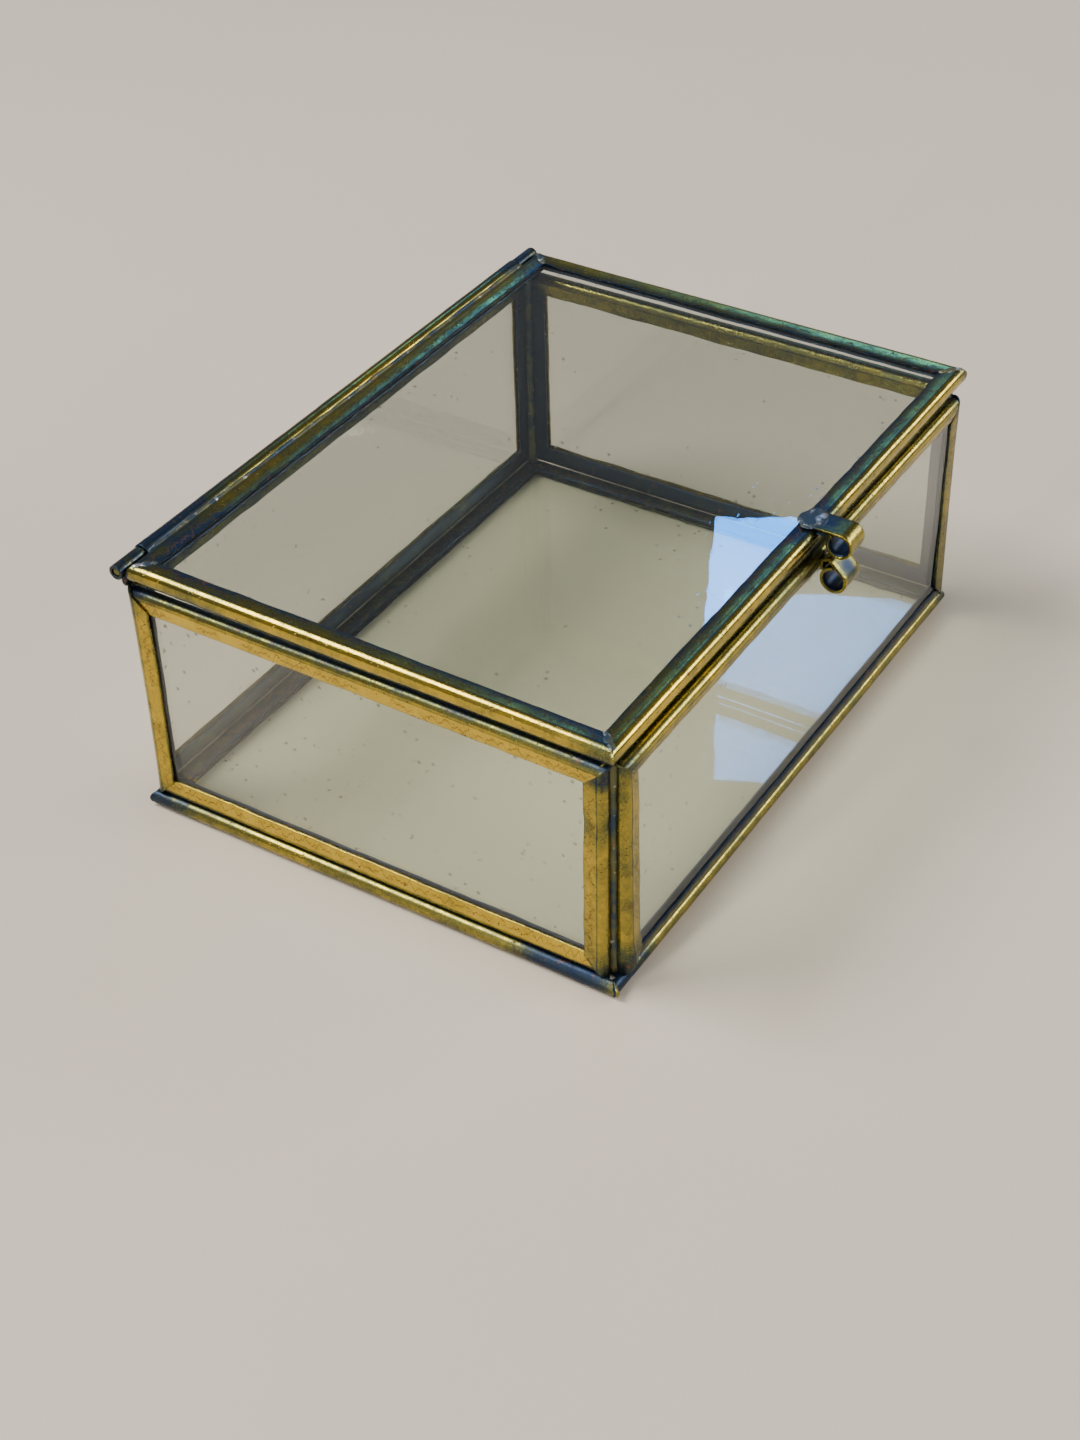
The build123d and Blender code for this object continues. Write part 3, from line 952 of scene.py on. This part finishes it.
def tube_mesh(x_start, x_end, outer, inner, centre, seed):
    bm = bmesh.new()
    corners = ((x_start, inner), (x_start, outer), (x_end, outer), (x_end, inner))
    section = [bm.verts.new((x, centre.y, centre.z + radius)) for x, radius in corners]
    ring = [bm.edges.new((section[i], section[(i + 1) % 4])) for i in range(4)]
    bmesh.ops.spin(bm, geom=section + ring, cent=centre, axis=(1, 0, 0), dvec=(0, 0, 0),
                   angle=2 * math.pi, steps=tube_segments, use_merge=True)
    bmesh.ops.remove_doubles(bm, verts=bm.verts, dist=0.001 * mm)
    bmesh.ops.recalc_face_normals(bm, faces=bm.faces[:])
    rims = [e for e in bm.edges if abs(e.verts[0].co.x - e.verts[1].co.x) < 0.01 * mm and e.is_manifold
            and e.calc_face_angle(0) > 1]
    bmesh.ops.bevel(bm, geom=rims, offset=0.07 * mm, offset_type="OFFSET", segments=2, profile=0.5,
                    affect="EDGES", material=-1)
    long_edges = [e for e in bm.edges if abs(e.verts[0].co.x - e.verts[1].co.x) > (x_end - x_start) / 2]
    bmesh.ops.subdivide_edges(bm, edges=long_edges, cuts=max(int((x_end - x_start) / (1.6 * mm)), 4),
                              use_grid_fill=True)
    bm.normal_update()
    for v in bm.verts:
        if math.hypot(v.co.y - centre.y, v.co.z - centre.z) > (outer + inner) / 2:
            v.co += v.normal * (wander(v.co, 5, seed) * 0.035 + wander(v.co, 1.5, seed) * 0.012) * mm
    return bm


def paint_tube(bm, centre, level, blots=()):
    layers = {n: bm.verts.layers.float.new(n) for n in ("patina", "run", "across")}
    for v in bm.verts:
        amount = level + 0.1 * wander(v.co, 8, 1.0)
        for x, width, strength in blots:
            amount += strength * math.exp(-(((v.co.x - x) / (width * mm)) ** 2))
        v[layers["patina"]] = min(max(amount, 0), 1)
        v[layers["run"]] = v.co.x / mm / 10
        v[layers["across"]] = math.atan2(v.co.z - centre.z, v.co.y - centre.y) / math.tau + 0.5


# %% Barrel and end tubes
barrel_low, barrel_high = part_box("hinge_barrel")
barrel_radius = (barrel_high.z - barrel_low.z) / 2
barrel_bore, end_bore = 0.65 * mm, 0.62 * mm
foot_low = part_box("wall_rear_came_top")[1].z - 0.35 * mm
foot_halves = (1.35 * mm, 0.66 * mm, (wire.z - foot_low) / 2 - 0.05 * mm)
barrel = tube_mesh(barrel_low.x, barrel_high.x, barrel_radius - 0.03 * mm, barrel_bore, wire, 11.0)
paint_tube(barrel, wire, 0.44, ((barrel_low.x, 18, 0.5), (10 * mm, 14, -0.1), (barrel_high.x, 8, 0.3)))
finished("hinge_barrel_tube", barrel, "lid", brass_lid, ("hinge_barrel",))
for side, sign in (("left", -1), ("right", 1)):
    node = f"hinge_knuckle_{side}"
    low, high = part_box(node)
    knuckle = tube_mesh(low.x, high.x, high.z - wire.z - 0.02 * mm, end_bore, wire, 13.0 + sign)
    foot_middle = Vector(((low.x + high.x) / 2 + sign * 0.1 * mm, wire.y, (foot_low + wire.z) / 2 - 0.3 * mm))
    made = bmesh.ops.create_icosphere(knuckle, subdivisions=3, radius=1.0)["verts"]
    bmesh.ops.scale(knuckle, verts=made, vec=foot_halves)
    bmesh.ops.translate(knuckle, verts=made, vec=foot_middle)
    for v in made:
        v.co += v.normal * wander(v.co, 1.2, 17.0 + sign) * 0.12 * mm
    paint_tube(knuckle, wire, 0.78)
    finished(f"hinge_tube_{side}", knuckle, "box", brass_lid, (node,))
print("hinge tubes made: 3")

# %% [markdown]
# The wire was snipped and its ends filed round. It is the same kind of rod as the seams, laid on its
# side, with a wide bevel for the filed ends.

# %% The wire, with its rounded ends
along_x = Matrix.Rotation(math.radians(90), 3, "Y")
pin_low, pin_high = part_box("hinge_pin")
pin_radius = (pin_high.z - pin_low.z) / 2
pin = rod_mesh(24, pin_radius, pin_high.x - pin_low.x, 40)
rims = [e for e in pin.edges if e.is_manifold and e.calc_face_angle(0) > 1]
bmesh.ops.bevel(pin, geom=rims, offset=0.22 * mm, offset_type="OFFSET", segments=4, profile=0.5,
                affect="EDGES", material=-1)
bmesh.ops.rotate(pin, verts=pin.verts, cent=(0, 0, 0), matrix=along_x)
bmesh.ops.translate(pin, verts=pin.verts, vec=(pin_low.x, wire.y, wire.z))
paint_tube(pin, wire, 0.5)
finished("hinge_wire", pin, "box", brass_lid, ("hinge_pin",))
print("wire is", round(2 * pin_radius / mm, 2), "mm thick")

# %% [markdown]
# The barrel touches the rear came along one line, and solder fills the groove under it. A rod of one
# metre is made first, because it is easy to scale to the groove's box, and noise along it makes the
# fillet thicker and thinner.

# %% Solder along the barrel
groove_low, groove_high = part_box("hinge_barrel_solder")
fillet = rod_mesh(16, 1.0, 1.0, 70)
bmesh.ops.rotate(fillet, verts=fillet.verts, cent=(0, 0, 0), matrix=along_x)
groove_half = (groove_high - groove_low) / 2
bmesh.ops.scale(fillet, verts=fillet.verts, vec=(groove_half.x * 2, groove_half.y, groove_half.z * 1.05))
groove_mid = (groove_low + groove_high) / 2
bmesh.ops.translate(fillet, verts=fillet.verts, vec=(groove_low.x, groove_mid.y, groove_mid.z))
for v in fillet.verts:
    v.co.z += (v.co.z - groove_mid.z) * 0.28 * wander(Vector((v.co.x, 0, 0)), 3.5, 2.0)
bmesh.ops.recalc_face_normals(fillet, faces=fillet.faces[:])
finished("solder_barrel", fillet, "lid", solder_dark, ("hinge_barrel_solder",))
print("hinge solder made")

# %% [markdown]
# ## Floor, light and camera
# The box stands on a plain pale floor. Polished metal only shows what is around it, so a soft world
# light alone would make it flat: three strips give the bright lines along the round backs, a wide lamp
# overhead, a little behind and to the left, gives the soft shadow, and a blue one far off, like a
# window, shows as one sheen in the lid and the base. Far off matters: from close by it would show
# at different places in the two panes.

# %% The floor
def floor_finish():
    material, shader, start = new_finish("pale floor")
    here = place(start)
    colour = blended(cloud(here, 6, 4), (0.56, 0.49, 0.405), (0.62, 0.55, 0.455))
    connect(shader, Base_Color=colour, Roughness=0.62 + cloud(here, 300, 2) * 0.08)
    return material


floor_mesh = bmesh.new()
bmesh.ops.create_grid(floor_mesh, x_segments=8, y_segments=8, size=8)
bmesh.ops.translate(floor_mesh, verts=floor_mesh.verts, vec=(0, 0, cad_low.z - 0.01 * mm))
floor_data = bpy.data.meshes.new("floor")
floor_mesh.to_mesh(floor_data)
floor_mesh.free()
floor_data.materials.append(floor_finish())
floor = bpy.data.objects.new("floor", floor_data)
bpy.context.scene.collection.objects.link(floor)
floor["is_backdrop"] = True
print("floor made")

# %% A lamp that is aimed at a point
def lamp(name, at, aim, size, watts, colour):
    data = bpy.data.lights.new(name, "AREA")
    data.shape, data.size, data.size_y = "RECTANGLE", size[0], size[1]
    data.energy, data.color = watts, colour
    item = bpy.data.objects.new(name, data)
    bpy.context.scene.collection.objects.link(item)
    item.location = at
    item.rotation_euler = (Vector(aim) - Vector(at)).to_track_quat("-Z", "Y").to_euler()


# %% The lights
world = bpy.data.worlds.new("soft room")
world.use_nodes = True
background = world.node_tree.nodes["Background"]
background.inputs["Color"].default_value = (0.62, 0.64, 0.66, 1)
background.inputs["Strength"].default_value = 0.34
bpy.context.scene.world = world
lamp("overhead", (-0.30, 0.60, 0.95), (0, 0, 0.02), (0.55, 0.45), 16, (1.0, 0.97, 0.93))
lamp("left strip", (-0.75, 0.1, 0.35), (0, 0, 0.02), (0.045, 0.7), 3.6, (1.0, 0.96, 0.9))
lamp("front strip", (0.2, -0.8, 0.45), (0, 0, 0.02), (0.8, 0.06), 3.0, (1.0, 0.97, 0.94))
lamp("right front strip", (0.68, -0.66, 0.44), (0, 0, 0.03), (0.6, 0.22), 5.5, (1.0, 0.98, 0.95))
lamp("window", (2.896, 1.277, 2.446), (0.02, -0.03, 0.02), (0.35, 0.36), 9.0, (0.04, 0.31, 1.0))
print("lamps:", len(bpy.data.lights))

# %% [markdown]
# The camera looks down on the box's left front corner. Its three directions, to the right, down and
# forward in the picture, are written out as the rows of its turn, because a camera looks along its own
# minus z and the picture's down is its own minus y.

# %% The camera
right = Vector((0.52779626, -0.84907096, -0.02257468))
down = Vector((-0.53876385, -0.31412077, -0.78170433))
forward = Vector((0.65663127, 0.42474304, -0.6232405))
camera_data = bpy.data.cameras.new("camera")
camera_data.lens, camera_data.sensor_width = 57.886, 36
camera_data.clip_start, camera_data.clip_end = 0.01, 20
camera = bpy.data.objects.new("camera", camera_data)
bpy.context.scene.collection.objects.link(camera)
camera_turn = Matrix((right, -down, -forward)).transposed().to_4x4()
camera.matrix_world = Matrix.Translation((-0.227204, -0.13986, 0.208805)) @ camera_turn
bpy.context.scene.camera = camera
print("camera at", [round(c, 3) for c in camera.location])

# %% [markdown]
# Nothing made here may be bigger than the CAD model, so both outside boxes are printed side by side.

# %% Print the sizes and finish
low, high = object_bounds()
sizes = {"cad": [list(cad_low), list(cad_high)], "looks": [list(low), list(high)]}
print("CAD box and looks box (mm):")
for name, (a, b) in sizes.items():
    print(name, [round(x / mm, 2) for x in a], [round(x / mm, 2) for x in b])
